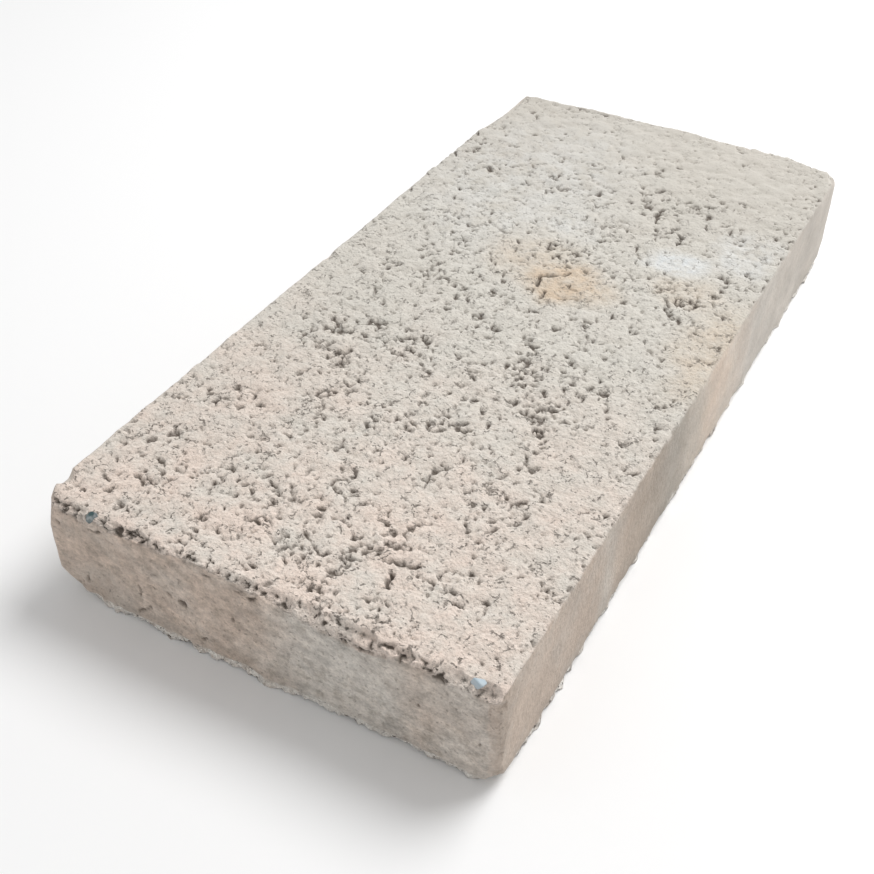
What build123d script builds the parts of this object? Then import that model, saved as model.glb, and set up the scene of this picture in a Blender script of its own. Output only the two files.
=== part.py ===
from build123d import *

import itertools
import math
import os

# A solid concrete cap block, tamped dry in a steel mould and stripped at once.
# It lies as it is laid: width along X, length along Y, tamped face up. Near is -Y and left is -X.
# The origin is the middle of the underside.

# Driving sizes, in millimetres
block_width = 190.5
block_length = 396.9
block_height = 50.8

# Each upright corner has its own wear: a radius at the foot, one up the shaft and one at the crown
near_left_foot = 20.0
near_left_shaft = 2.5
near_left_crown = 11.0
near_right_foot = 11.0
near_right_shaft = 2.5
near_right_crown = 4.0
far_right_foot = 20.0
far_right_shaft = 13.0
far_right_crown = 15.0
far_left_foot = 9.0
far_left_shaft = 5.0
far_left_crown = 6.0

# Heights over which the foot and the crown wear fade into the shaft
foot_band = 13.0
crown_band = 16.0

# The sides aren't quite square. The left one runs askew: its near end stands out and its far end draws in.
# The far one swells out left of its middle, most at the crown.
left_skew = 0.9
far_swell = 2.0
far_swell_peak = -50.0  # where it stands out most, across the block
far_swell_end = 45.0  # where it dies away
far_swell_foot = 0.3  # share of the swell that is left at the foot
far_swell_left = 0.5  # share of the swell at the left corner
far_swell_tail = 0.12  # share of the swell at its right end

# The top arris is rubbed down by a different amount on each side
arris_drop = 3.0
near_arris_wear = 3.2
right_arris_wear = 1.0
far_arris_wear = 0.8
left_arris_wear = 0.6
arris_roundness = 0.3  # share of the wear that is reached at the same share of the drop from the top

# Paste squeezed out between the mould and the pallet: a thin lip round the foot that wanders in and out,
# broken back behind the side in places
lip_height = 3.5
lip_set_in = 0.2
lip_wander = 0.45
lip_ripple = 0.35
lip_step = 9.0
wander_turn = 0.36  # radians by which each step moves the slow wander on
ripple_turn = 2.4
lip_root = 1.2  # how far the foot, and the lip's feather edge, run back behind the side

# Spalls along the top arris: distance of the middle from the side's left end, length and depth,
# seen from outside the side
near_spalls = (
    (13.0, 19.0, 2.5), (34.0, 8.0, 2.6), (43.0, 12.0, 3.2), (90.5, 10.0, 3.3), (104.0, 33.0, 3.3),
    (116.5, 13.0, 4.5), (130.0, 27.0, 3.7), (139.0, 10.0, 4.4), (151.0, 17.0, 2.7), (155.0, 7.0, 3.5),
    (170.0, 25.0, 3.1), (173.5, 8.0, 3.8), (185.0, 12.0, 4.2),
)
right_spalls = ((150.0, 8.0, 1.8), (306.0, 9.0, 1.8), (394.0, 34.0, 5.0))
far_spalls = ((4.0, 54.0, 5.5),)
left_spalls = ((8.0, 110.0, 4.2), (205.0, 12.0, 1.6), (384.0, 9.0, 3.0))

# Tears in the tamped face, where the stiff mix was dragged open: width, depth and path in plan
tears = (
    (2.4, 2.6, ((26, 106), (28, 102))),
    (1.5, 2.4, ((27, 103), (30, 97), (32, 91), (36, 80))),
    (2.0, 2.4, ((37, 92), (42, 94), (46, 91))),
    (1.8, 2.4, ((45, 86), (49, 84))),
    (1.6, 2.2, ((21, 132), (18, 124), (10, 124))),
    (2.2, 2.0, ((17, 158), (21, 157))),
    (1.4, 1.6, ((-69, 110), (-63, 104))),
    (2.0, 2.0, ((-19, 118), (-18, 115))),
    (1.8, 1.8, ((-7, 114), (-7, 110))),
    (1.5, 1.8, ((30, 74), (32, 68), (35, 64))),
    (1.1, 1.3, ((-45, 62), (-42, 59), (-33, 55))),
    (1.3, 2.0, ((8, 45), (10, 40), (12, 34))),
    (2.0, 2.4, ((12, 34), (3, 28), (2, 19))),
    (1.8, 2.2, ((8, 17), (9, 9))),
    (1.4, 1.8, ((42, 14), (44, 4))),
    (1.3, 1.6, ((-52, 14), (-48, 11), (-44, 16))),
    (2.2, 2.4, ((-31, 2), (-30, 0))),
    (1.8, 1.8, ((-26, -17), (-23, -17))),
    (1.2, 1.6, ((-1, -28), (2, -28), (1, -22))),
    (1.5, 1.6, ((-53, -22), (-52, -27), (-50, -31))),
    (1.4, 1.6, ((35, -2), (40, -12), (44, -17))),
    (1.4, 1.6, ((36, -24), (41, -28), (44, -31))),
    (1.9, 1.8, ((26, -48), (26, -54))),
    (1.7, 1.8, ((46, -36), (49, -41))),
    (1.9, 2.4, ((44, -62), (51, -57))),
    (1.8, 2.2, ((46, -74), (50, -75))),
    (1.2, 1.5, ((-42, -76), (-36, -76))),
    (1.2, 1.5, ((-33, -74), (-28, -82))),
    (1.5, 2.0, ((-13, -95), (-9, -92), (-6, -95))),
    (1.5, 2.0, ((-2, -91), (6, -97))),
    (1.3, 1.8, ((8, -94), (12, -96), (18, -87), (27, -78))),
    (1.6, 1.8, ((-62, -110), (-55, -115))),
    (1.2, 1.6, ((-20, -108), (-17, -113), (-12, -121))),
    (1.2, 1.6, ((44, -120), (47, -133))),
    (2.1, 2.2, ((48, -135), (50, -138))),
    (1.2, 1.6, ((66, -119), (60, -130), (56, -140))),
    (1.4, 1.7, ((-28, -149), (-19, -155))),
    (1.4, 1.9, ((-6, -153), (0, -149))),
    (1.4, 1.7, ((4, -155), (9, -154), (18, -160))),
    (1.2, 1.8, ((-14, -162), (-13, -172), (-6, -177))),
    (1.5, 2.0, ((0, -166), (8, -171))),
    (1.5, 1.9, ((18, -171), (28, -166), (44, -161))),
    (2.2, 2.6, ((37, -172), (39, -175))),
    (1.8, 1.8, ((-44, -160), (-43, -165))),
    (1.9, 1.9, ((-59, -167), (-60, -171))),
    (1.5, 1.8, ((-28, -176), (-27, -181))),
)
tear_floor = 0.3  # width of a tear's floor, as a share of its mouth's
tear_overrun = 0.75  # how far a hollow's mouth runs past each end of its stretch, in widths
tear_floor_short = 0.25  # how far its floor stops short of each end, in widths


def worn_section(level, near_left, near_right, far_right, far_left, wear_share, swell_share, setback=0.0):
    """Plan outline at one level, with four round corners. Each side is set in by a share of its arris wear
    and by a setback, and the far side stands out by a share of its swell."""
    left_x = -block_width / 2 + left_arris_wear * wear_share + setback
    right_x = block_width / 2 - right_arris_wear * wear_share - setback
    near_y = -block_length / 2 + near_arris_wear * wear_share + setback
    far_y = block_length / 2 - far_arris_wear * wear_share - setback
    swell = far_swell * swell_share
    corners = (
        ((left_x - left_skew, near_y), near_left),
        ((right_x, near_y), near_right),
        ((right_x, far_y), far_right),
        ((left_x + left_skew, far_y + swell * far_swell_left), far_left),
    )
    with BuildSketch(Plane.XY.offset(level)) as section:
        with BuildLine():
            Polyline(
                (left_x - left_skew, near_y),
                (right_x, near_y),
                (right_x, far_y),
                (far_swell_end, far_y + swell * far_swell_tail),
                (far_swell_peak, far_y + swell),
                (left_x + left_skew, far_y + swell * far_swell_left),
                close=True,
            )
        make_face()
        for corner, radius in corners:
            fillet(section.vertices().sort_by_distance(Vector(*corner, level))[0], radius)
    return section.sketch


def crown_radius(shaft, crown, level):
    """Corner radius at a level in the crown band, where it grows evenly from the shaft's to the crown's."""
    return shaft + (crown - shaft) * (level - (block_height - crown_band)) / crown_band


def crown_section(level, wear_share):
    """Plan outline at a level in the crown band."""
    return worn_section(
        level,
        crown_radius(near_left_shaft, near_left_crown, level),
        crown_radius(near_right_shaft, near_right_crown, level),
        crown_radius(far_right_shaft, far_right_crown, level),
        crown_radius(far_left_shaft, far_left_crown, level),
        wear_share,
        1,
    )


def foot_section(level, setback):
    """Plan outline at a level in the foot band, where each corner radius shrinks evenly to the shaft's."""
    share = level / foot_band
    return worn_section(
        level,
        near_left_foot + (near_left_shaft - near_left_foot) * share,
        near_right_foot + (near_right_shaft - near_right_foot) * share,
        far_right_foot + (far_right_shaft - far_right_foot) * share,
        far_left_foot + (far_left_shaft - far_left_foot) * share,
        0,
        far_swell_foot,
        setback,
    )


def lip_reach_at(step):
    """How far the lip stands out of the side at one of its steps: a slow wander with a ripple on it."""
    wander = lip_wander * math.cos(wander_turn * step)
    ripple = lip_ripple * math.sin(ripple_turn * step)
    return wander + ripple - lip_set_in


def lip_section(foot_outline, level, reaches):
    """A closed curve round the foot that stands out of it by each of the reaches in turn."""
    points = []
    for step, reach in enumerate(reaches):
        share = step / len(reaches)
        on_foot = foot_outline.position_at(share)
        outward = foot_outline.tangent_at(share).cross(Vector(0, 0, 1))
        points.append((on_foot.X + outward.X * reach, on_foot.Y + outward.Y * reach))
    with BuildSketch(Plane.XY.offset(level)) as section:
        with BuildLine():
            Spline(*points, periodic=True)
        make_face()
    return section.sketch


def cut_spall(side, along, length, depth):
    """A shallow shell-shaped chip: the cap of a ball whose middle stands out from the arris."""
    ball_radius = (length**2 / 4 + depth**2) / (2 * depth)
    stand_off = (ball_radius - depth) / math.sqrt(2)
    with Locations(side.from_local_coords(Vector(along, stand_off, stand_off))):
        Sphere(ball_radius, mode=Mode.SUBTRACT)


def boat_outline(ground, length, width):
    """A boat-shaped face on a plane, pointed at both ends and as wide as given in its middle."""
    with BuildSketch(ground) as outline:
        with BuildLine():
            ThreePointArc((-length / 2, 0), (0, -width / 2), (length / 2, 0))
            ThreePointArc((length / 2, 0), (0, width / 2), (-length / 2, 0))
        make_face()
    return outline.sketch


def cut_tear(width, depth, path):
    """A tear in the tamped face: a boat-shaped hollow for each stretch of its path, running into the next."""
    for start, end in itertools.pairwise(path):
        stretch = Vector(*end) - Vector(*start)
        middle = (Vector(*start) + Vector(*end)) / 2
        mouth = Plane(origin=(middle.X, middle.Y, block_height), x_dir=stretch, z_dir=(0, 0, 1))
        mouth_length = stretch.length + 2 * tear_overrun * width
        floor_length = stretch.length - 2 * tear_floor_short * width
        hollow = [
            boat_outline(mouth, mouth_length, width),
            boat_outline(mouth.offset(-depth), floor_length, width * tear_floor),
        ]
        loft(hollow, ruled=True, mode=Mode.SUBTRACT)


# One plane for each top arris: its X runs along the arris, its Y is up and its Z faces out of the side
half_width = block_width / 2
half_length = block_length / 2
near_side = Plane(origin=(-half_width, -half_length, block_height), x_dir=(1, 0, 0), z_dir=(0, -1, 0))
right_side = Plane(origin=(half_width, -half_length, block_height), x_dir=(0, 1, 0), z_dir=(1, 0, 0))
far_side = Plane(origin=(half_width, half_length, block_height), x_dir=(-1, 0, 0), z_dir=(0, 1, 0))
left_side = Plane(origin=(-half_width, half_length, block_height), x_dir=(0, -1, 0), z_dir=(-1, 0, 0))

with BuildPart() as cap_block:
    shaft = foot_section(foot_band, 0)
    crown = [
        crown_section(block_height - crown_band, 0),
        crown_section(block_height - arris_drop, 0),
        crown_section(block_height - arris_drop * arris_roundness, arris_roundness),
        crown_section(block_height, 1),
    ]
    loft([foot_section(0, lip_root), foot_section(lip_height, 0), shaft, *crown], ruled=True)

    foot_outline = foot_section(0, 0).face().outer_wire()
    lip_steps = round(foot_outline.length / lip_step)
    lip_edge = lip_section(foot_outline, 0, [lip_reach_at(step) for step in range(lip_steps)])
    lip_feather = lip_section(foot_outline, lip_height, [-lip_root] * lip_steps)
    loft([lip_edge, lip_feather], ruled=True)

    for side, spalls in (
        (near_side, near_spalls),
        (right_side, right_spalls),
        (far_side, far_spalls),
        (left_side, left_spalls),
    ):
        for along, length, depth in spalls:
            cut_spall(side, along, length, depth)

    for width, depth, path in tears:
        cut_tear(width, depth, path)

os.makedirs("parts", exist_ok=True)
cap_block.part.label = "cap_block"
export_step(cap_block.part, "parts/cap_block.step")
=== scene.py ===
"""A dry-cast concrete cap block with its tamped top, moulded sides and ragged foot, lit for a picture."""

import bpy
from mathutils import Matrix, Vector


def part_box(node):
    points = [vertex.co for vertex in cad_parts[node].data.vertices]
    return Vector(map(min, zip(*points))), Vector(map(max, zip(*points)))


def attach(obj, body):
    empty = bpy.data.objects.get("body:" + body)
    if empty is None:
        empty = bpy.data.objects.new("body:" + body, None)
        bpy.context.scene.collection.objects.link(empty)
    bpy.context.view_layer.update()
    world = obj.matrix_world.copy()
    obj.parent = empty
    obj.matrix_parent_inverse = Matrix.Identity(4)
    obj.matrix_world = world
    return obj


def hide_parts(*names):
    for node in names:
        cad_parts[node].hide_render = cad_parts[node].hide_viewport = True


bl_info = {
    "name": "Concrete cap block",
    "version": (1, 0, 0),
    "blender": (4, 5, 0),
    "location": "View3D > Sidebar > Cap Block",
    "description": "Gives the packed cap block its concrete skin and grit, and sets up its stage",
    "category": "Object",
}

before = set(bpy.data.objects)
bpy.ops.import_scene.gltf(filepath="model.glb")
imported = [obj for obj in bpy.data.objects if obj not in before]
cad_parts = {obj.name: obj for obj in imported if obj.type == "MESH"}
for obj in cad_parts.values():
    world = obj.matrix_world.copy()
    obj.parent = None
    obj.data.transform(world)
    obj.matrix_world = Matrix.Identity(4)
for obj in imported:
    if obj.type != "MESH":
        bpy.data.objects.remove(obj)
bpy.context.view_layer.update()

import itertools
import math
from types import SimpleNamespace

import bmesh
import bpy
import numpy as np
from bpy.props import FloatProperty, FloatVectorProperty, IntProperty, PointerProperty
from mathutils import Euler, Vector
from mathutils.bvhtree import BVHTree

# The mesh code works in millimetres, near is -Y and left is -X. Blender's own values are in metres.
MM = 0.001
BLOCK = "cap_block"
BODY = "root"
block_low, block_high = (np.array(corner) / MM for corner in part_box(BLOCK))
top_level = block_high[2]
half_block = np.array((95.25, 198.45))  # from the middle to the sides, without the lip round the foot
core_inset = 12  # how deep in the block the core lies that the skin is cast out from
plain_gap = 1.5  # depth of a plain gap between grains, which the tears' and marks' own depths are set against


def linear(hex_colour):
    """An sRGB hex colour as linear red, green and blue."""
    shares = [int(hex_colour[place:place + 2], 16) / 255 for place in (1, 3, 5)]
    return tuple(share / 12.92 if share <= 0.04045 else ((share + 0.055) / 1.055) ** 2.4 for share in shares)


class CapBlockSkin(bpy.types.PropertyGroup):
    """Sizes and colours of the concrete skin."""

    mesh_step: FloatProperty(
        name="Mesh step", description="Distance between the skin's points before it is thinned out",
        default=0.55 * MM, min=0.4 * MM, max=5 * MM, unit="LENGTH")
    most_triangles: IntProperty(
        name="Most triangles", description="The skin is thinned out to this many triangles", default=198000)
    swell_height: FloatProperty(
        name="Swell height", description="How far the tamped top rises and falls over a hand's breadth",
        default=0.35 * MM, unit="LENGTH")
    shoulder_height: FloatProperty(
        name="Shoulder height", description="How far a grain's rim rounds down towards the gap beside it",
        default=0.4 * MM, unit="LENGTH")
    gap_depth: FloatProperty(
        name="Gap depth", description="Depth of the gaps between grains", default=plain_gap * MM,
        unit="LENGTH")
    tamped_colour: FloatVectorProperty(
        name="Tamped top", description="Pale grey skin of the tamped top", subtype="COLOR",
        default=linear("#DEDBD3"))
    pink_colour: FloatVectorProperty(
        name="Pink mottle", description="Warm patches of the tamped top", subtype="COLOR",
        default=linear("#EADCD1"))
    moulded_colour: FloatVectorProperty(
        name="Moulded sides", description="Grey paste that was pressed against the mould", subtype="COLOR",
        default=linear("#D8D6D0"))
    tan_colour: FloatVectorProperty(
        name="Tan sides", description="Warm patches of the moulded paste", subtype="COLOR",
        default=linear("#D1C0B2"))
    # Pale paste of the lip, painted paler still: painted light on a foot that lies in shade above the floor
    lip_paste_and_painted_light_colour: FloatVectorProperty(
        name="Lip", description="Pale broken paste of the lip round the foot", subtype="COLOR",
        default=linear("#F5F1EA"))
    # Also the colour that the paste is darkened towards low on the near side, along parts of the right side
    # and at the far and left of the top
    grime_colour: FloatVectorProperty(
        name="Grime", description="Brownish grime rubbed into the moulded sides", subtype="COLOR",
        default=linear("#8F8273"))
    stain_colour: FloatVectorProperty(
        name="Iron stain", description="Orange tint of the stains", subtype="COLOR",
        default=linear("#DCCAB4"))
    bloom_colour: FloatVectorProperty(
        name="Lime bloom", description="Bluish white of the lime bloom", subtype="COLOR",
        default=linear("#E7E9E9"))
    hollow_colour: FloatVectorProperty(
        name="Hollows", description="Dirt and shade that gather in tears and pits", subtype="COLOR",
        default=linear("#6A5F55"))


class GritChips(bpy.types.PropertyGroup):
    """Places, sizes and colours of the two chips of coloured stone that show at the near arris."""

    dark_place: FloatVectorProperty(
        name="Dark chip's place", description="Where the middle of the dark chip lies",
        default=(-71.6 * MM, -196.9 * MM, 48.8 * MM), subtype="TRANSLATION", unit="LENGTH")
    dark_size: FloatVectorProperty(
        name="Dark chip's size", description="Length, breadth and thickness of the dark chip",
        default=(6.2 * MM, 5.2 * MM, 3.4 * MM), subtype="XYZ", unit="LENGTH")
    dark_colour: FloatVectorProperty(
        name="Dark chip", description="Slate green stone", subtype="COLOR", default=linear("#40585A"))
    pale_place: FloatVectorProperty(
        name="Pale chip's place", description="Where the middle of the pale chip lies",
        default=(85 * MM, -195 * MM, 49.2 * MM), subtype="TRANSLATION", unit="LENGTH")
    pale_size: FloatVectorProperty(
        name="Pale chip's size", description="Length, breadth and thickness of the pale chip",
        default=(6.4 * MM, 4.4 * MM, 3 * MM), subtype="XYZ", unit="LENGTH")
    pale_colour: FloatVectorProperty(
        name="Pale chip", description="Blue grey stone", subtype="COLOR", default=linear("#B2C2CB"))


class CapBlockStage(bpy.types.PropertyGroup):
    """The floor, the light and the camera."""

    floor_colour: FloatVectorProperty(
        name="Floor", description="Plain matt floor", subtype="COLOR", default=linear("#F4F4F4"))
    floor_reach: FloatProperty(
        name="Floor reach", description="How far the floor goes each way", default=3000 * MM, unit="LENGTH")
    sky_strength: FloatProperty(
        name="Sky strength", description="Brightness of the even light from all round", default=0.55)
    key_power: FloatProperty(
        name="Key power", description="Power of the large soft lamp behind the block", default=23,
        subtype="POWER")
    key_place: FloatVectorProperty(
        name="Key place", description="Where the large soft lamp hangs", subtype="TRANSLATION", unit="LENGTH",
        default=(476 * MM, 765 * MM, 1445 * MM))
    key_size: FloatProperty(
        name="Key size", description="How wide the large soft lamp is", default=1000 * MM, unit="LENGTH")
    view_azimuth: FloatProperty(
        name="View azimuth", description="Camera's way round the block, from straight in front",
        default=math.radians(29.24), subtype="ANGLE")
    view_elevation: FloatProperty(
        name="View elevation", description="Camera's angle above the floor",
        default=math.radians(40.06), subtype="ANGLE")
    camera_place: FloatVectorProperty(
        name="Camera place", description="Where the camera stands", subtype="TRANSLATION", unit="LENGTH",
        default=(191.44 * MM, -411.95 * MM, 352.85 * MM))
    lens: FloatProperty(
        name="Lens", description="Focal length for a sensor 36 millimetres wide", default=49.92)


# Random relief. Each function gives the same numbers on every run.

table_size = np.array((127, 131, 61))  # how many cells there are each way before they repeat
askew = np.array(Euler((0.4, 0.7, 1.1)).to_matrix())


def blend_in(low, high, value):
    """0 below low, 1 above high, and a smooth ramp between."""
    share = np.clip((value - low) / (high - low), 0, 1)
    return share * share * (3 - 2 * share)


def cells_about(points, step, seed, channels):
    """The points counted in steps, the cell that each is in, and a table with every cell's random shares.
    The cells stand askew to the block, so that no row of them shows on its faces."""
    counted = points @ askew / step
    return counted, np.floor(counted), np.random.default_rng(seed).random((*table_size, channels))


def waves(points, step, seed):
    """Smooth hills and hollows from -1 to 1, about a step apart."""
    counted, whole, table = cells_about(points, step, seed, 1)
    share = counted - whole
    share = share * share * (3 - 2 * share)
    total = np.zeros(len(points))
    for corner in itertools.product((0, 1), repeat=3):
        weight = np.prod(np.where(corner, share, 1 - share), axis=1)
        total += weight * table[tuple(((whole + corner) % table_size).astype(int).T)][:, 0]
    return 2 * total - 1


def grain_gap(points, step, radii, seed):
    """How far each point is outside the round grains about it, negative inside one, how far it is from the
    seam between the two nearest, and those grains' random share. There is one grain to a cell, in a random
    place in it, and where two grains meet the paste rounds the corner off."""
    counted, whole, table = cells_about(points, step, seed, 5)
    fillet = 0.07 * step
    nearest = np.full(len(points), np.inf)
    following = np.full(len(points), np.inf)
    crowding = np.zeros(len(points))
    shares = np.zeros(len(points))
    for offset in itertools.product((-1, 0, 1), repeat=3):
        random_shares = table[tuple(((whole + offset) % table_size).astype(int).T)]
        away = (whole + offset + random_shares[:, :3] - counted) * step
        outside = np.sqrt(np.einsum("ij,ij->i", away, away)) - np.interp(random_shares[:, 3], (0, 1), radii)
        following = np.minimum(following, np.maximum(nearest, outside))
        nearest = np.minimum(nearest, outside)
        weight = np.exp(-outside / fillet)
        crowding += weight
        shares += weight * random_shares[:, 4]
    return -fillet * np.log(crowding), following - nearest, shares / crowding


def warped(points, reach, step, seed):
    """The points pushed about by smooth waves, so that what is drawn on them comes out ragged."""
    pushes = np.column_stack([waves(points, step, seed + axis) for axis in range(3)])
    return points + reach * pushes


def distance_to_path(points, path):
    """Distance from each flat point to the nearest stretch of a path."""
    nearest = np.full(len(points), np.inf)
    for start, end in itertools.pairwise(np.array(path, float)):
        along = end - start
        share = np.clip((points - start) @ along / (along @ along), 0, 1)
        nearest = np.minimum(nearest, np.linalg.norm(points - start - share[:, None] * along, axis=1))
    return nearest


def patches(points, spots):
    """How far each flat point is within any of some soft-edged round patches, from 0 to 1."""
    share = np.zeros(len(points))
    for middle, reach, strength in spots:
        away = np.linalg.norm((points - np.array(middle)) / np.array(reach), axis=1)
        share = np.maximum(share, strength * blend_in(1.25, 0.35, away))
    return share


# Tears in the tamped top that can be picked out one by one: width, depth and path in plan

tears = (
    (2.4, 2.6, ((26, 106), (28, 102))),
    (1.5, 2.4, ((27, 103), (30, 97), (32, 91), (35, 84), (36, 80))),
    (2.0, 2.4, ((37, 92), (42, 94), (46, 91))),
    (1.8, 2.4, ((45, 86), (49, 84))),
    (1.6, 2.2, ((21, 132), (19, 128), (18, 124), (13, 123), (10, 124))),
    (1.0, 1.4, ((20, 120), (21, 113), (23, 108))),
    (2.2, 2.0, ((17, 158), (21, 157))),
    (1.4, 1.6, ((-69, 110), (-66, 107), (-63, 104))),
    (1.4, 1.6, ((-32, 115), (-29, 112))),
    (2.0, 2.0, ((-19, 118), (-18, 115))),
    (1.8, 1.8, ((-7, 114), (-7, 110))),
    (1.5, 1.8, ((30, 74), (32, 68), (35, 64))),
    (1.0, 1.3, ((23, 60), (26, 56), (28, 53))),
    (1.1, 1.4, ((7, 90), (8, 86), (9, 84))),
    (1.1, 1.3, ((-45, 62), (-42, 59), (-38, 57), (-33, 55))),
    (1.1, 1.4, ((-24, 63), (-21, 58))),
    (1.3, 2.0, ((8, 45), (10, 40), (12, 34))),
    (2.0, 2.4, ((12, 34), (8, 31), (3, 28), (1, 26), (3, 22), (2, 19))),
    (1.8, 2.2, ((8, 17), (9, 12), (9, 9))),
    (1.0, 1.2, ((20, 16), (25, 16), (28, 18), (30, 20))),
    (1.4, 1.8, ((42, 14), (43, 8), (44, 4))),
    (1.3, 1.6, ((-52, 14), (-48, 11), (-45, 12), (-44, 16))),
    (2.2, 2.4, ((-31, 2), (-30, 0))),
    (1.1, 1.5, ((-5, 4), (-2, 3), (1, 5), (1, 8))),
    (1.8, 1.8, ((-26, -17), (-23, -17))),
    (1.2, 1.6, ((-7, -23), (-5, -26), (-6, -30))),
    (1.2, 1.6, ((-1, -28), (2, -28), (3, -25), (1, -22))),
    (1.5, 1.6, ((-53, -22), (-52, -27), (-50, -31))),
    (1.4, 1.6, ((35, -2), (38, -6), (40, -12), (44, -17))),
    (1.4, 1.6, ((36, -24), (41, -28), (44, -31))),
    (1.9, 1.8, ((26, -48), (26, -54))),
    (1.7, 1.8, ((46, -36), (49, -41))),
    (1.9, 2.4, ((44, -62), (48, -60), (51, -57))),
    (1.8, 2.2, ((46, -74), (50, -75))),
    (0.9, 1.5, ((22, -60), (24, -66), (29, -67), (33, -66), (33, -60))),
    (1.2, 1.5, ((-42, -76), (-36, -76))),
    (1.2, 1.5, ((-33, -74), (-31, -79), (-28, -82))),
    (1.5, 2.0, ((-13, -95), (-9, -92), (-6, -95))),
    (1.5, 2.0, ((-2, -91), (2, -94), (6, -97))),
    (1.3, 1.8, ((8, -94), (12, -96), (15, -92), (18, -87), (22, -84), (25, -80), (27, -78))),
    (1.6, 1.8, ((-62, -110), (-60, -113), (-55, -115))),
    (1.2, 1.6, ((-20, -108), (-17, -113), (-15, -118), (-12, -121))),
    (1.1, 1.4, ((-52, -127), (-51, -131), (-48, -133))),
    (1.2, 1.6, ((44, -120), (45, -127), (47, -133))),
    (2.1, 2.2, ((48, -135), (50, -138))),
    (1.2, 1.6, ((66, -119), (63, -124), (60, -130), (56, -135), (56, -140))),
    (1.4, 1.7, ((-28, -149), (-23, -151), (-19, -155))),
    (1.4, 1.9, ((-6, -153), (-2, -152), (0, -149))),
    (1.4, 1.7, ((4, -155), (9, -154), (14, -156), (18, -160))),
    (1.2, 1.8, ((-14, -162), (-14, -168), (-13, -172), (-9, -174), (-6, -177))),
    (1.5, 2.0, ((0, -166), (4, -168), (8, -171))),
    (1.5, 1.9, ((18, -171), (23, -169), (28, -166), (33, -165), (40, -162), (44, -161))),
    (2.2, 2.6, ((37, -172), (39, -175))),
    (1.8, 1.8, ((-44, -160), (-43, -165))),
    (1.9, 1.9, ((-59, -167), (-60, -171))),
    (1.5, 1.8, ((-28, -176), (-27, -181))),
    (1.0, 1.5, ((72, -164), (74, -168), (74, -171))),
    (1.7, 1.8, ((-92, -160), (-89, -160))),
)

# How far down the near side the crumbly top skin reaches, at places along that side
near_crumble = (
    (-95, 4), (-80, 4.5), (-70, 3), (-55, 3.5), (-42, 3), (-32, 1), (-18, 0.8), (-5, 3), (8, 2.5),
    (20, 6), (33, 8), (42, 8), (52, 5), (58, 3), (70, 4.5), (80, 5), (90, 4.5), (95, 5),
)
far_crumble = 1.5
side_crumble = 0.4

# How squarely the line from the core faces a side, or the floor, where that skin begins and where it is whole
facing_side = (0.6, 0.8)
facing_down = (0.72, 0.9)

# Where each band of the skin begins and where it is whole: above the slope down from the arris for the top
# and the arris, above the floor for the lip, and away from the near right upright arris
top_band = (-2, 1)
arris_band = (2.5, 0)
lip_band = (5, 3)
upright_band = (4.4, 2.6)

# Distance from grain to grain, and the least and greatest radius of a grain
coarse_grains = (9, (3.6, 6.2))
middling_grains = (4.2, (1.7, 2.9))

# Looser and tighter patches of the tamped top: middle, reach across and along, and how much more open it is
loose_patches = (
    ((0, -45), (75, 70), 0.3),
    ((30, -70), (35, 40), 0.2),
    ((-5, -160), (55, 25), 0.2),
    ((-70, -175), (22, 18), 0.15),
    ((-5, 50), (42, 30), 0.2),
    ((72, 35), (18, 28), 0.2),
    ((44, 92), (11, 12), 0.6),
    ((20, 140), (9, 32), 0.35),
    ((-89, -60), (20, 70), -0.42),
    ((-85, 60), (22, 90), -0.32),
    ((-42, -181), (15, 9), -0.4),
    ((20, 25), (13, 11), -0.6),
    ((52, 70), (19, 15), -0.7),
    ((0, 165), (110, 50), -0.32),
    ((72, 140), (30, 70), -0.18),
    ((80, -60), (16, 90), -0.4),
    ((64, -130), (30, 45), -0.22),
)

# Marks in the near side: width, depth and path across and up it
near_marks = (
    (1.6, 1.4, ((-80.5, 16), (-81, 12), (-83, 9))),
    (1.8, 1.0, ((-75, 18), (-73, 17))),
    (1.4, 1.4, ((-49.5, 15), (-51, 13))),
    (1.7, 1.4, ((-53, 11), (-57, 8))),
    (1.9, 1.4, ((-28, 9), (-26, 10))),
    (1.6, 1.4, ((-41, 27), (-41, 23.5))),
    (1.8, 1.4, ((-35, 23), (-33, 23.5))),
    (1.3, 1.0, ((-47, 26), (-45, 25))),
    (1.5, 1.0, ((-59, 31), (-58.5, 31))),
    (1.4, 1.0, ((-50, 34), (-49.5, 33.5))),
    (1.3, 0.9, ((-54, 22), (-54.5, 19))),
    (1.3, 0.9, ((-91, 40), (-90, 38.5))),
    (1.3, 0.9, ((-68, 44), (-75, 42))),
    (1.4, 1.4, ((-11, 30), (-11, 28))),
    (1.0, 1.0, ((-7, 22), (-6, 22))),
    (1.2, 1.0, ((36, 26), (37, 25))),
    (1.2, 1.2, ((64, 29), (64, 28))),
    (1.0, 1.0, ((54, 22), (54, 21))),
    (1.1, 1.1, ((88, 22), (88, 21))),
    (2.0, 2.0, ((-79, 47), (-79, 45))),
    (1.8, 1.8, ((-63, 47), (-58, 47), (-54, 48))),
    (1.5, 1.3, ((-42, 46), (-38, 47))),
    (1.5, 1.4, ((-20, 45), (-18, 46))),
    (1.6, 1.8, ((-7, 45), (-2, 44), (1, 46))),
    (2.0, 2.2, ((58, 48), (58, 46))),
    (1.6, 1.8, ((70, 47), (74, 46))),
    (1.2, 1.2, ((85, 43), (85, 42))),
    (2.6, 2.2, ((88, 48), (87, 47))),
)

# Rough patches of the near side, across and up it
near_rough = (((-76, 13), (17, 9), 0.75), ((-40, 24), (9, 7), 0.6), ((-66, 38), (16, 6), 0.35))

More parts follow.
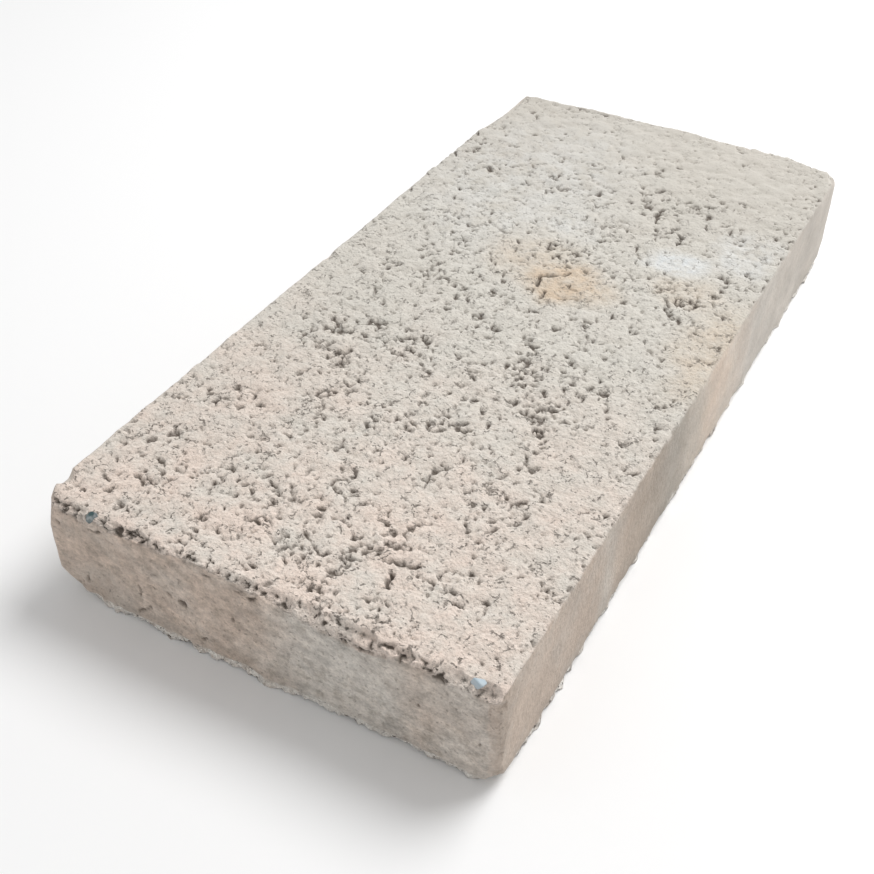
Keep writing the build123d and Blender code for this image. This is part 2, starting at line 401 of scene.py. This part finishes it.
# Iron stains and lime blooms: middle, reach across and along, and strength
stains = (
    ((13, 27), (24, 19), 1.0),
    ((-8, 40), (26, 24), 0.45),
    ((92, 8), (22, 42), 0.55),
    ((66, 44), (18, 14), 0.4),
)
blooms = (
    ((52, 68), (17, 13), 1.0),
    ((78, 90), (18, 22), 0.5),
    ((-6, 75), (18, 16), 0.4),
    ((-45, 110), (60, 90), 0.3),
)

# How warm the paste is along the top, the near side and the right side
top_warmth = ((-200, 1.0), (-120, 0.75), (-60, 0.4), (-20, 0.15), (60, 0.1), (200, 0.1))
near_warmth = ((-95, 1.0), (0, 0.95), (20, 0.35), (50, 0.35), (62, 0.75), (78, 0.5), (95, 0.65))
right_warmth = ((-200, 1.0), (-120, 1.0), (-112, 0.5), (-100, 0.9), (-65, 0.8), (-45, 0.1), (-18, 0.3),
                (0, 0.9), (35, 0.7), (60, 0.3), (200, 0.3))

# How much darker and browner the paste is along the right side and along the top
right_darkening = ((-200, 0.34), (-150, 0.28), (-110, 0.38), (-80, 0.58), (-35, 0.65), (-18, 0.4), (5, 0.13),
               (30, 0.06), (60, 0.24), (110, 0.32), (200, 0.28))
top_darkening = ((-180, 0.0), (-60, 0.03), (60, 0.06), (120, 0.18), (200, 0.2))

# How sandy the top is along the block
top_sand = ((-120, 1.0), (60, 0.7), (160, 0.3))


def block_skin(step):
    """One closed skin over the block's box: points a step apart and the four-sided faces between them."""
    size = block_high - block_low
    counts = np.maximum(2, np.round(size / step)).astype(int)
    on_skin = np.ones(counts + 1, bool)
    on_skin[1:-1, 1:-1, 1:-1] = False
    numbers = np.full(counts + 1, -1, np.int32)
    numbers[on_skin] = np.arange(on_skin.sum())
    points = block_low + np.argwhere(on_skin) * size / counts
    faces = []
    for axis, end in itertools.product(range(3), (0, -1)):
        sheet = np.take(numbers, end, axis=axis)
        around = [sheet[:-1, :-1], sheet[1:, :-1], sheet[1:, 1:], sheet[:-1, 1:]]
        faces_out = (end == -1) != (axis == 1)
        faces.append(np.stack(around if faces_out else around[::-1], axis=-1).reshape(-1, 4))
    return points, np.concatenate(faces)


def onto_solid(points, inset):
    """Where the line from the block's core through each point leaves the CAD solid, and which way it runs."""
    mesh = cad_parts[BLOCK].data
    corners = [vertex.co / MM for vertex in mesh.vertices]
    solid = BVHTree.FromPolygons(corners, [face.vertices for face in mesh.polygons])
    roots = np.clip(points, block_low + inset, block_high - inset)
    rays = points - roots
    rays /= np.linalg.norm(rays, axis=1)[:, None]
    hits = [solid.ray_cast(root, ray)[0] for root, ray in zip(roots.tolist(), rays.tolist())]
    if None in hits:
        raise RuntimeError("the block's CAD solid has a hole: a line from its core leaves it nowhere")
    places = np.array(hits)
    # The relief cuts the tears of the tamped face, so over the solid's own the skin starts from their mouths
    places[rays[:, 2] > 0.999, 2] = top_level
    return places, rays


def skin_zones(places, rays):
    """Which part of the skin each point belongs to, as shares from 0 to 1."""
    inward = np.min(half_block - np.abs(places[:, :2]), axis=1)
    above_arris = inward - (top_level - places[:, 2])
    level = np.hypot(rays[:, 0], rays[:, 1]) + 1e-9
    near = blend_in(*facing_side, -rays[:, 1] / level)
    far = blend_in(*facing_side, rays[:, 1] / level)
    right = blend_in(*facing_side, rays[:, 0] / level)
    under = blend_in(*facing_down, -rays[:, 2])

    # The crumbly skin of the top reaches over the arris, least on the long sides
    reach = near * np.interp(places[:, 0], *zip(*near_crumble))
    reach = reach + far * far_crumble + (1 - near - far) * side_crumble
    ragged = 1.1 * waves(places, 4, 11) + 0.7 * waves(places, 1.8, 12)
    tamped = blend_in(-0.6, 0.6, above_arris + reach + ragged * np.minimum(1, 0.3 + reach / 3))
    side = (1 - tamped) * (1 - under)
    over_arris = tamped * blend_in(*arris_band, above_arris)

    # The lip round the foot, the broken upright arris at the near right, and the near side's rough patches
    lip = blend_in(*lip_band, places[:, 2] + 1.2 * waves(places, 5, 94)) * (1 - under)
    from_upright = np.hypot(places[:, 0] - half_block[0], places[:, 1] + half_block[1])
    broken = blend_in(*upright_band, from_upright + 1.8 * waves(places, 5, 65)) * side * (1 - lip)
    chewed = near * patches(warped(places, 3, 6, 81)[:, (0, 2)], near_rough) * side * (1 - lip)
    return SimpleNamespace(
        near=near, right=right, under=under, tamped=tamped, side=side, over_arris=over_arris, lip=lip,
        on_top=blend_in(*top_band, above_arris), broken=broken, chewed=np.maximum(chewed, 0.6 * broken))


def skin_grains(places):
    """Rounded grains of two sizes under a skin of sandy paste, which frays them."""
    frayed = warped(places, 0.6, 2.2, 24)
    coarse, seam, coarse_share = grain_gap(frayed, *coarse_grains, 41)
    middling, crease, middling_share = grain_gap(frayed, *middling_grains, 42)
    return SimpleNamespace(
        frayed=frayed, coarse=coarse, middling=middling, gap=np.minimum(coarse, middling),
        seam=seam, crease=crease, seat=0.5 * coarse_share + 0.3 * middling_share)


def skin_holes(places, drift, zone, grains):
    """How far each point is inside a pit, crease or tear, from 0 to 1, and how much deeper that is than a gap.
    The gap's own depth is plain_gap."""
    # Pits a millimetre or two wide, most of them shallow, more where grains meet and where the mix is loose
    open_share = sum(amount * patches(drift[:, :2], ((middle, reach, 1.0),))
                     for middle, reach, amount in loose_patches)
    speckle = 0.6 * waves(grains.frayed, 2.1, 51) + 0.4 * waves(places, 1.2, 52)
    crowd = 0.1 * waves(places, 30, 37) + 0.08 * waves(places, 12, 38)
    meeting = 0.12 * blend_in(-1.6, 0.2, grains.coarse) + 0.12 * blend_in(-0.7, 0.4, grains.middling)
    opened = speckle + zone.tamped * (
        meeting + 0.28 * open_share + crowd + 0.15 * zone.over_arris + 0.15 * zone.over_arris * zone.near)
    opened += 0.45 * zone.lip + 0.5 * zone.chewed - 0.53 - 0.47 * zone.side - 4 * zone.under

    # Creases run round some of the grains, and longer tears between the large ones
    wander = warped(grains.frayed, 1.3, 5, 21)
    ridge = np.abs(waves(wander, 14, 33) + 0.5 * waves(wander, 6, 34) + 0.2 * waves(places, 3, 35))
    torn = waves(places, 22, 36) + 0.4 * waves(places, 7, 40) + 0.8 * open_share
    torn = blend_in(0.1, 0.5, torn) * zone.on_top
    creased = waves(places, 9, 53) + 0.8 * waves(places, 3.4, 54) + 0.5 * open_share
    creased = blend_in(0.0, 0.5, creased) * zone.on_top
    opened += torn * (0.42 * blend_in(0.12, 0, ridge) + 0.2 * blend_in(0.9, 0, grains.seam))
    opened += 0.5 * creased * blend_in(0.7, 0, grains.crease)

    # The tears and marks that can be picked out one by one
    deeper = np.ones(len(places))
    for marks, flat, shown in (
        (tears, wander[:, :2], zone.on_top > 0.5),
        (near_marks, wander[:, (0, 2)], zone.near * (1 - zone.on_top) > 0.5),
    ):
        for width, depth, path in marks:
            into = 0.4 * (0.5 * width - distance_to_path(flat, path))
            into = into + 0.55 * speckle + 0.06 * np.clip(grains.gap, -2, 1)
            opened = np.where(shown, np.maximum(opened, into), opened)
            deeper = np.where(shown & (into > -0.1), np.maximum(deeper, depth / plain_gap), deeper)
    return 0.3 * blend_in(-0.09, 0.1, opened) + 0.7 * blend_in(0.07, 0.38, opened), deeper


def skin_colour_shares(places, drift, zone):
    """How much of each tint and texture of the material there is at each point."""
    across, along, up = places.T
    drifted_across, drifted_along = drift[:, 0], drift[:, 1]

    # The paste is darker and browner low on the near side, along parts of the right side, at the far and left
    # of the top and in the rough patches
    darkening = zone.side * zone.right * np.interp(drifted_along, *zip(*right_darkening))
    darkening += zone.side * zone.near * 0.12 * blend_in(15, 8, up) + 0.16 * zone.chewed
    darkening += zone.tamped * np.interp(along, *zip(*top_darkening)) + zone.tamped * 0.07 * blend_in(20, -80, across)

    other_sides = 1 - zone.near - zone.right
    warmth = zone.tamped * np.interp(along, *zip(*top_warmth))
    warmth += zone.side * zone.near * np.interp(drifted_across, *zip(*near_warmth))
    warmth += zone.side * zone.right * np.interp(drifted_along, *zip(*right_warmth))
    warmth += zone.side * other_sides * 0.5 + 0.4 * zone.broken
    crumbly = np.maximum(np.maximum(zone.tamped, zone.lip), zone.chewed)
    return {
        "tamped": zone.tamped,
        "warmth": warmth,
        # The lip's pale paste with its painted light, and a little of the rough patches' pale paste
        "rim": np.maximum(zone.lip, 0.2 * zone.chewed),
        "crumbly": crumbly,
        "sandy": np.interp(along, *zip(*top_sand)) + 0.6 * np.maximum(zone.over_arris * zone.near, zone.lip),
        "darkening": darkening,
        "rubbed": zone.near + 0.25 * zone.right + 0.45 * other_sides,
        "stain": patches(drift[:, :2], stains) * (1 - 0.5 * zone.side),
        "bloom": patches(drift[:, :2], blooms) * zone.tamped,
    }


def skin_relief(places, rays, skin):
    """How deep each point lies under the CAD surface, and the shares that the material colours by."""
    zone = skin_zones(places, rays)
    grains = skin_grains(places)
    drift = warped(places, 5, 16, 71)
    hole, deeper = skin_holes(places, drift, zone, grains)
    shares = skin_colour_shares(places, drift, zone)
    hole_depth = skin.gap_depth / MM * deeper * hole
    # How sunk each point is, which the material darkens with painted shade and dirt
    shares["hollow"] = np.clip(hole_depth / plain_gap, 0, 1)

    # Swells of the tamped face, its grains' rounded shoulders, and the broad waves of the moulded sides
    swell_height = skin.swell_height / MM
    swell = 0.3 + swell_height * waves(places, 70, 31) + 0.6 * swell_height * waves(places, 25, 32)
    shoulder = blend_in(-1.1, 0.2, grains.gap) ** 2 + blend_in(-4, 0, grains.coarse) ** 2
    shoulder = skin.shoulder_height / MM * shoulder
    side_depth = 0.45 + 0.15 * waves(places, 20, 63)
    dents = zone.side * 0.15 * waves(places, 5, 66)

    # Upright lumps of the lip, and what is bitten out of the rough patches and the near arris
    combed = places * (1, 1, 0.2)
    lumps = 0.3 + 1.2 * waves(combed, 8, 91) + 1.1 * waves(combed, 3.2, 92) + 0.7 * waves(places, 1.7, 95)
    bitten = np.maximum(1.4 * zone.chewed, 0.7 * zone.over_arris * zone.near)
    bitten = (0.5 + waves(places, 3, 93)) * bitten

    crumbly = shares["crumbly"]
    depth = zone.tamped * (swell - 0.6 * (1 - zone.on_top)) + zone.side * (1 - 0.8 * zone.chewed) * side_depth
    depth = depth + crumbly * (shoulder + grains.seat) + bitten + dents + zone.lip * lumps
    return depth + hole_depth * np.maximum(crumbly, 0.7), shares


def mesh_object(name, points, faces, shares):
    """A new object in the scene from points in millimetres, with each share as a value on its points."""
    mesh = bpy.data.meshes.new(name)
    mesh.from_pydata((points * MM).tolist(), [], faces.tolist())
    for share_name, values in shares.items():
        mesh.attributes.new(share_name, "FLOAT", "POINT").data.foreach_set("value", values.astype(np.float32))
    made = bpy.data.objects.new(name, mesh)
    bpy.context.scene.collection.objects.link(made)
    return made


def thin_out(made, most_triangles):
    """Joins the mesh's flattest triangles until it has no more than the most allowed."""
    triangles = sum(len(face.vertices) - 2 for face in made.data.polygons)
    if triangles > most_triangles:
        thinner = made.modifiers.new("Thin out", "DECIMATE")
        thinner.ratio = most_triangles / triangles
        made.data = bpy.data.meshes.new_from_object(made.evaluated_get(bpy.context.evaluated_depsgraph_get()))
        made.modifiers.clear()
    corners = np.array([vertex.co for vertex in made.data.vertices])
    corners = np.clip(corners, block_low * MM, block_high * MM)
    made.data.vertices.foreach_set("co", corners.ravel())


def add_node(tree, kind, inputs, output=0, **settings):
    """Adds a shader node with its settings, and with its inputs set to values or linked to the outputs given.
    Gives the one of its own outputs that is asked for."""
    made = tree.nodes.new("ShaderNode" + kind)
    for setting, value in settings.items():
        setattr(made, setting, value)
    for socket, value in inputs.items():
        if isinstance(value, bpy.types.NodeSocket):
            tree.links.new(value, made.inputs[socket])
        else:
            made.inputs[socket].default_value = value
    return made.outputs[output] if made.outputs else None


def dry_cast_concrete(skin):
    """Dry-cast concrete: cement, sand and fine stone, tamped in a steel mould and stripped at once.

    The eye gets a matt, faintly sandy stone with no gloss. The tamped face is pale and mottled, with dark
    pits. The sides are smoother and darker where the paste slid along the mould.
    """
    material = bpy.data.materials.new("Dry-cast concrete")
    material.use_nodes = True
    tree = material.node_tree
    tree.nodes.clear()

    # Real sizes of what the noise draws, in millimetres
    mottle, grime_mottle, lip_patch, bloom_patch, stain_patch = 20, 4, 5, 9, 8
    fine_cloud, broad_cloud, open_patch, crease_patch, crease_dash, crease_sway = 4, 22, 12, 6, 1.6, 2.5
    mortar_grain, sand_grain, pinhole, crumb = 2.2, 0.9, 1.9, 5.5

    here = add_node(tree, "TexCoord", {}, "Object")
    place = add_node(tree, "VectorMath", {0: here, "Scale": 1 / MM}, operation="SCALE")
    lying = add_node(tree, "VectorMath", {0: place, 1: (0.6, 0.6, 1)}, operation="MULTIPLY")
    tamped, hollow, warmth, rim, crumbly = (
        add_node(tree, "Attribute", {}, "Fac", attribute_name=share)
        for share in ("tamped", "hollow", "warmth", "rim", "crumbly"))
    sandy, darkening, rubbed, stain, bloom = (
        add_node(tree, "Attribute", {}, "Fac", attribute_name=share)
        for share in ("sandy", "darkening", "rubbed", "stain", "bloom"))

    # Mottling: warm and grey patches 15 to 25 mm across, broken up at a few millimetres
    patchy = add_node(tree, "TexNoise", {
        "Vector": place, "Scale": 1 / mottle, "Detail": 5, "Roughness": 0.65})
    patchy = add_node(tree, "MapRange", {"Value": patchy, "From Min": 0.34, "From Max": 0.66})
    varied = add_node(tree, "MapRange", {"Value": patchy, "To Min": 0.35, "To Max": 1.25})
    warm = add_node(tree, "Math", {0: warmth, 1: varied}, operation="MULTIPLY")
    top = add_node(tree, "Mix", {0: warm, 6: (*skin.tamped_colour, 1), 7: (*skin.pink_colour, 1)}, 2,
                   data_type="RGBA")
    varied = add_node(tree, "MapRange", {"Value": patchy, "To Min": 0.7, "To Max": 1.15})
    warm = add_node(tree, "Math", {0: warmth, 1: varied}, operation="MULTIPLY")
    sides = add_node(tree, "Mix", {0: warm, 6: (*skin.moulded_colour, 1), 7: (*skin.tan_colour, 1)}, 2,
                     data_type="RGBA")
    colour = add_node(tree, "Mix", {0: tamped, 6: sides, 7: top}, 2, data_type="RGBA")

    # Grime in mottles on the rubbed sides, and darker, browner paste wherever the skin's darkening share lies
    mottled = add_node(tree, "TexNoise", {
        "Vector": place, "Scale": 1 / grime_mottle, "Detail": 5, "Roughness": 0.7})
    mottled = add_node(tree, "MapRange", {
        "Value": mottled, "From Min": 0.48, "From Max": 0.72, "To Max": 0.55})
    smooth = add_node(tree, "Math", {0: 1.0, 1: crumbly}, operation="SUBTRACT")
    mottled = add_node(tree, "Math", {0: mottled, 1: smooth}, operation="MULTIPLY")
    mottled = add_node(tree, "Math", {0: mottled, 1: rubbed}, operation="MULTIPLY")
    grime_and_darkening = add_node(tree, "Math", {0: mottled, 1: darkening}, operation="ADD")
    colour = add_node(tree, "Mix", {0: grime_and_darkening, 6: colour, 7: (*skin.grime_colour, 1)}, 2, data_type="RGBA")

    # The pale lip, painted paler still as painted light where the foot lies in shade, the lime bloom and the
    # iron stains, each broken up into patches of its own
    for share, tint, patch, detail, rough, low, high, least in (
        (rim, skin.lip_paste_and_painted_light_colour, lip_patch, 4, 0.7, 0.4, 0.58, 0.35),
        (bloom, skin.bloom_colour, bloom_patch, 4, 0.6, 0.3, 0.6, 0),
        (stain, skin.stain_colour, stain_patch, 5, 0.65, 0.35, 0.6, 0.45),
    ):
        broken_up = add_node(tree, "TexNoise", {
            "Vector": place, "Scale": 1 / patch, "Detail": detail, "Roughness": rough})
        broken_up = add_node(tree, "MapRange", {
            "Value": broken_up, "From Min": low, "From Max": high, "To Min": least})
        laid = add_node(tree, "Math", {0: share, 1: broken_up}, operation="MULTIPLY")
        colour = add_node(tree, "Mix", {0: laid, 6: colour, 7: (*tint, 1)}, 2, data_type="RGBA")

    # The moulded sides are clouded in broad patches, and finely where they are rubbed, and a little darker
    # towards the foot
    clouds = add_node(tree, "TexNoise", {
        "Vector": lying, "Scale": 1 / fine_cloud, "Detail": 6, "Roughness": 0.8})
    clouds = add_node(tree, "MapRange", {
        "Value": clouds, "From Min": 0.3, "From Max": 0.7, "To Min": -0.32, "To Max": 0.32})
    clouds = add_node(tree, "Math", {0: clouds, 1: rubbed}, operation="MULTIPLY")
    broad = add_node(tree, "TexNoise", {"Vector": place, "Scale": 1 / broad_cloud, "Detail": 2})
    broad = add_node(tree, "MapRange", {
        "Value": broad, "From Min": 0.3, "From Max": 0.7, "To Min": 0.9, "To Max": 1.1})
    clouds = add_node(tree, "Math", {0: clouds, 1: broad}, operation="ADD")
    height_up = add_node(tree, "SeparateXYZ", {0: place}, "Z")
    footed = add_node(tree, "MapRange", {"Value": height_up, "From Min": 4, "From Max": 14, "To Min": 0.92})
    clouds = add_node(tree, "Math", {0: clouds, 1: footed}, operation="MULTIPLY")
    clouds = add_node(tree, "Mix", {0: crumbly, 2: clouds, 3: 1.0})

    # Mortar-coated grains and sand grains, and pinholes between them
    grains = add_node(tree, "TexNoise", {"Vector": place, "Scale": 1 / mortar_grain, "Detail": 2})
    sand = add_node(tree, "TexNoise", {
        "Vector": place, "Scale": 1 / sand_grain, "Detail": 3, "Roughness": 0.65})
    loose = add_node(tree, "TexNoise", {
        "Vector": place, "Scale": 1 / open_patch, "Detail": 3, "Roughness": 0.6})
    loose = add_node(tree, "MapRange", {
        "Value": loose, "From Min": 0.35, "From Max": 0.65, "To Min": 0.5, "To Max": 1.3})
    pinholes = add_node(tree, "TexNoise", {
        "Vector": place, "Scale": 1 / pinhole, "Detail": 2, "Roughness": 0.55})
    pinholes = add_node(tree, "MapRange", {"Value": pinholes, "From Min": 0.37, "From Max": 0.31})
    pinholes = add_node(tree, "Math", {0: pinholes, 1: loose}, operation="MULTIPLY")
    pitted = add_node(tree, "Math", {0: rubbed, 1: 0.5}, operation="MULTIPLY")
    pitted = add_node(tree, "Math", {0: crumbly, 1: pitted}, operation="MAXIMUM")
    pitted = add_node(tree, "Math", {0: sandy, 1: pitted}, operation="MULTIPLY")
    pinholes = add_node(tree, "Math", {0: pinholes, 1: pitted}, operation="MULTIPLY")

    # Short thin creases round crumbs of the tamped top, which come in patches and break up into dashes
    sway = add_node(tree, "TexNoise", {"Vector": place, "Scale": 1 / crease_sway, "Detail": 3}, "Color")
    swayed = add_node(tree, "VectorMath", {0: sway, 1: (3.5, 3.5, 3.5), 2: place}, operation="MULTIPLY_ADD")
    creases = add_node(tree, "TexVoronoi", {"Vector": swayed, "Scale": 1 / crumb}, "Distance",
                       feature="DISTANCE_TO_EDGE")
    creases = add_node(tree, "MapRange", {"Value": creases, "From Min": 0.085, "From Max": 0.025})
    for size, detail, rough, low, high in (
        (crease_patch, 3, 0.6, 0.53, 0.6),
        (crease_dash, 2, 0.5, 0.44, 0.54),
    ):
        shown = add_node(tree, "TexNoise", {
            "Vector": place, "Scale": 1 / size, "Detail": detail, "Roughness": rough})
        shown = add_node(tree, "MapRange", {"Value": shown, "From Min": low, "From Max": high})
        creases = add_node(tree, "Math", {0: creases, 1: shown}, operation="MULTIPLY")
    sandy_top = add_node(tree, "Math", {0: tamped, 1: sandy}, operation="MULTIPLY")
    creases = add_node(tree, "Math", {0: creases, 1: sandy_top}, operation="MULTIPLY")

    # The colour is shaded by sand and clouds, and dark where the skin is sunk: painted shade and dirt in the
    # hollows, pinholes and creases
    speck = add_node(tree, "MapRange", {
        "Value": sand, "From Min": 0.3, "From Max": 0.7, "To Min": -0.1, "To Max": 0.1})
    speck = add_node(tree, "Math", {0: speck, 1: sandy}, operation="MULTIPLY")
    speck = add_node(tree, "Math", {0: speck, 1: 1.01}, operation="ADD")
    shade = add_node(tree, "Math", {0: speck, 1: clouds}, operation="MULTIPLY")
    shade = add_node(tree, "CombineColor", {0: shade, 1: shade, 2: shade})
    colour = add_node(tree, "Mix", {0: 1.0, 6: colour, 7: shade}, 2, data_type="RGBA", blend_type="MULTIPLY")
    fraying = add_node(tree, "MapRange", {
        "Value": sand, "From Min": 0.3, "From Max": 0.7, "To Min": 0.15, "To Max": -0.15})
    sunk = add_node(tree, "Math", {0: hollow, 1: fraying}, operation="ADD")
    sunk = add_node(tree, "MapRange", {"Value": sunk, "From Min": 0.05, "From Max": 0.95, "To Max": 0.88})
    for small_hollow, darkness in ((pinholes, 0.54), (creases, 0.75)):
        dark = add_node(tree, "Math", {0: small_hollow, 1: darkness}, operation="MULTIPLY")
        sunk = add_node(tree, "Math", {0: sunk, 1: dark}, operation="MAXIMUM")
    colour = add_node(tree, "Mix", {0: sunk, 6: colour, 7: (*skin.hollow_colour, 1)}, 2, data_type="RGBA")

    # Bump heights in millimetres
    rough = add_node(tree, "MapRange", {"Value": crumbly, "To Min": 0.35})
    rough = add_node(tree, "Math", {0: rough, 1: sandy}, operation="MULTIPLY")
    sand_height = add_node(tree, "MapRange", {
        "Value": sand, "From Min": 0.2, "From Max": 0.8, "To Max": 0.35})
    grain_height = add_node(tree, "MapRange", {
        "Value": grains, "From Min": 0.25, "From Max": 0.75, "To Max": 0.7})
    height = add_node(tree, "Math", {0: sand_height, 1: grain_height}, operation="ADD")
    height = add_node(tree, "Math", {0: height, 1: rough}, operation="MULTIPLY")
    sinking = add_node(tree, "Math", {0: pinholes, 1: creases}, operation="ADD")
    sinking = add_node(tree, "Math", {0: sinking, 1: -0.45}, operation="MULTIPLY")
    height = add_node(tree, "Math", {0: height, 1: sinking}, operation="ADD")
    bump = add_node(tree, "Bump", {"Height": height, "Distance": MM, "Strength": 1.0})

    shader = add_node(tree, "BsdfPrincipled", {
        "Base Color": colour, "Normal": bump, "Roughness": 0.92, "IOR": 1.5, "Diffuse Roughness": 0.8})
    add_node(tree, "OutputMaterial", {"Surface": shader})
    return material


class CAPBLOCK_OT_skin(bpy.types.Operator):
    """Makes the block's concrete skin over its CAD solid"""

    bl_idname = "cap_block.skin"
    bl_label = "Concrete skin"

    def execute(self, context):
        skin = context.scene.cap_block_skin
        step = skin.mesh_step / MM * 1
        points, faces = block_skin(step)
        places, rays = onto_solid(points, core_inset)
        depth, shares = skin_relief(places, rays, skin)
        block = mesh_object("cap_block_concrete", places - rays * depth[:, None], faces, shares)
        thin_out(block, skin.most_triangles)
        block.data.polygons.foreach_set("use_smooth", [True] * len(block.data.polygons))
        block.data.materials.append(dry_cast_concrete(skin))
        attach(block, BODY)
        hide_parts(BLOCK)
        return {"FINISHED"}


def broken_stone(name, colour):
    """Broken slate and limestone: dense, even stone with a dull sheen on its fresh faces."""
    material = bpy.data.materials.new(name)
    material.use_nodes = True
    tree = material.node_tree
    tree.nodes.clear()
    cloud = 1.6 * MM
    here = add_node(tree, "TexCoord", {}, "Object")
    clouds = add_node(tree, "TexNoise", {"Vector": here, "Scale": 1 / cloud, "Detail": 4})
    dusty = add_node(tree, "MapRange", {"Value": clouds, "From Min": 0.42, "From Max": 0.7})
    dust = [0.5 * share + 0.28 for share in colour]
    mixed = add_node(tree, "Mix", {0: dusty, 6: (*colour, 1), 7: (*dust, 1)}, 2, data_type="RGBA")
    bump = add_node(tree, "Bump", {"Height": clouds, "Distance": 0.3 * MM})
    shader = add_node(tree, "BsdfPrincipled", {
        "Base Color": mixed, "Normal": bump, "Roughness": 0.6, "IOR": 1.55})
    add_node(tree, "OutputMaterial", {"Surface": shader})
    return material


def stone_chip(name, size, seed):
    """A broken chip: the hull of a few points scattered over an egg, with its edges just rubbed."""
    points, rubbed_off = 13, 0.2 * MM
    random = np.random.default_rng(seed)
    spread = random.normal(size=(points, 3))
    spread /= np.linalg.norm(spread, axis=1)[:, None]
    chip = bmesh.new()
    for corner in spread * np.array(size) / 2:
        chip.verts.new(corner)
    bmesh.ops.convex_hull(chip, input=chip.verts)
    bmesh.ops.bevel(chip, geom=chip.edges[:], offset=rubbed_off, segments=1, affect="EDGES")
    bmesh.ops.recalc_face_normals(chip, faces=chip.faces[:])
    mesh = bpy.data.meshes.new(name)
    chip.to_mesh(mesh)
    chip.free()
    made = bpy.data.objects.new(name, mesh)
    bpy.context.scene.collection.objects.link(made)
    return made


class CAPBLOCK_OT_grit(bpy.types.Operator):
    """Beds the two coloured chips of stone in the near arris"""

    bl_idname = "cap_block.grit"
    bl_label = "Coloured grit"

    def execute(self, context):
        grit = context.scene.cap_block_grit
        turn = Vector((0, -1, 1)).to_track_quat("Z", "Y").to_matrix()
        for name, place, size, colour, seed in (
            ("dark_grit", grit.dark_place, grit.dark_size, grit.dark_colour, 5),
            ("pale_grit", grit.pale_place, grit.pale_size, grit.pale_colour, 8),
        ):
            chip = stone_chip(name, size, seed)
            corners = np.array([turn @ corner.co + Vector(place) for corner in chip.data.vertices])
            chip.data.vertices.foreach_set("co", np.clip(corners, block_low * MM, block_high * MM).ravel())
            chip.data.materials.append(broken_stone(name.replace("_", " "), colour))
            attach(chip, BODY)
        return {"FINISHED"}


class CAPBLOCK_OT_stage(bpy.types.Operator):
    """Sets the floor, the light and the camera"""

    bl_idname = "cap_block.stage"
    bl_label = "Stage"

    def execute(self, context):
        stage = context.scene.cap_block_stage
        reach = stage.floor_reach / MM
        corners = np.array([(-reach, -reach, 0), (reach, -reach, 0), (reach, reach, 0), (-reach, reach, 0)])
        floor = mesh_object("floor", corners, np.array([(0, 1, 2, 3)]), {})
        paper = bpy.data.materials.new("Matt studio paper")
        paper.use_nodes = True
        shader = paper.node_tree.nodes["Principled BSDF"]
        shader.inputs["Base Color"].default_value = (*stage.floor_colour, 1)
        shader.inputs["Roughness"].default_value = 1.0
        floor.data.materials.append(paper)

        world = bpy.data.worlds.new("Even sky")
        world.use_nodes = True
        world.node_tree.nodes["Background"].inputs["Color"].default_value = (1, 1, 1, 1)
        world.node_tree.nodes["Background"].inputs["Strength"].default_value = stage.sky_strength
        context.scene.world = world

        key = bpy.data.lights.new("key", "AREA")
        key.shape = "DISK"
        key.size = stage.key_size
        key.energy = stage.key_power
        lamp = bpy.data.objects.new("key", key)
        lamp.location = stage.key_place
        lamp.rotation_mode = "QUATERNION"
        lamp.rotation_quaternion = (-lamp.location).to_track_quat("-Z", "Y")
        context.scene.collection.objects.link(lamp)

        camera = bpy.data.objects.new("camera", bpy.data.cameras.new("camera"))
        camera.data.lens = stage.lens
        camera.data.clip_start = 0.01
        azimuth, elevation = stage.view_azimuth, stage.view_elevation
        back = Vector((math.sin(azimuth) * math.cos(elevation), -math.cos(azimuth) * math.cos(elevation),
                       math.sin(elevation)))
        camera.location = stage.camera_place
        camera.rotation_mode = "QUATERNION"
        camera.rotation_quaternion = (-back).to_track_quat("-Z", "Y")
        context.scene.collection.objects.link(camera)
        context.scene.camera = camera
        context.scene.view_settings.view_transform = "Standard"
        return {"FINISHED"}


class CAPBLOCK_PT_panel(bpy.types.Panel):
    """Lists what makes the cap block"""

    bl_idname = "CAPBLOCK_PT_panel"
    bl_label = "Cap Block"
    bl_space_type = "VIEW_3D"
    bl_region_type = "UI"
    bl_category = "Cap Block"

    def draw(self, context):
        for group, operator in STEPS:
            settings = getattr(context.scene, group)
            for name in settings.__annotations__:
                self.layout.prop(settings, name)
            self.layout.operator(operator.bl_idname)


STEPS = (
    ("cap_block_skin", CAPBLOCK_OT_skin),
    ("cap_block_grit", CAPBLOCK_OT_grit),
    ("cap_block_stage", CAPBLOCK_OT_stage),
)
GROUPS = {"cap_block_skin": CapBlockSkin, "cap_block_grit": GritChips, "cap_block_stage": CapBlockStage}
CLASSES = (*GROUPS.values(), CAPBLOCK_OT_skin, CAPBLOCK_OT_grit, CAPBLOCK_OT_stage, CAPBLOCK_PT_panel)


def register():
    for made_class in CLASSES:
        bpy.utils.register_class(made_class)
    for name, group in GROUPS.items():
        setattr(bpy.types.Scene, name, PointerProperty(type=group))


def unregister():
    for name in GROUPS:
        delattr(bpy.types.Scene, name)
    for made_class in reversed(CLASSES):
        bpy.utils.unregister_class(made_class)


def main():
    register()
    bpy.ops.cap_block.skin()
    bpy.ops.cap_block.grit()
    bpy.ops.cap_block.stage()


if __name__ == "__main__":
    main()
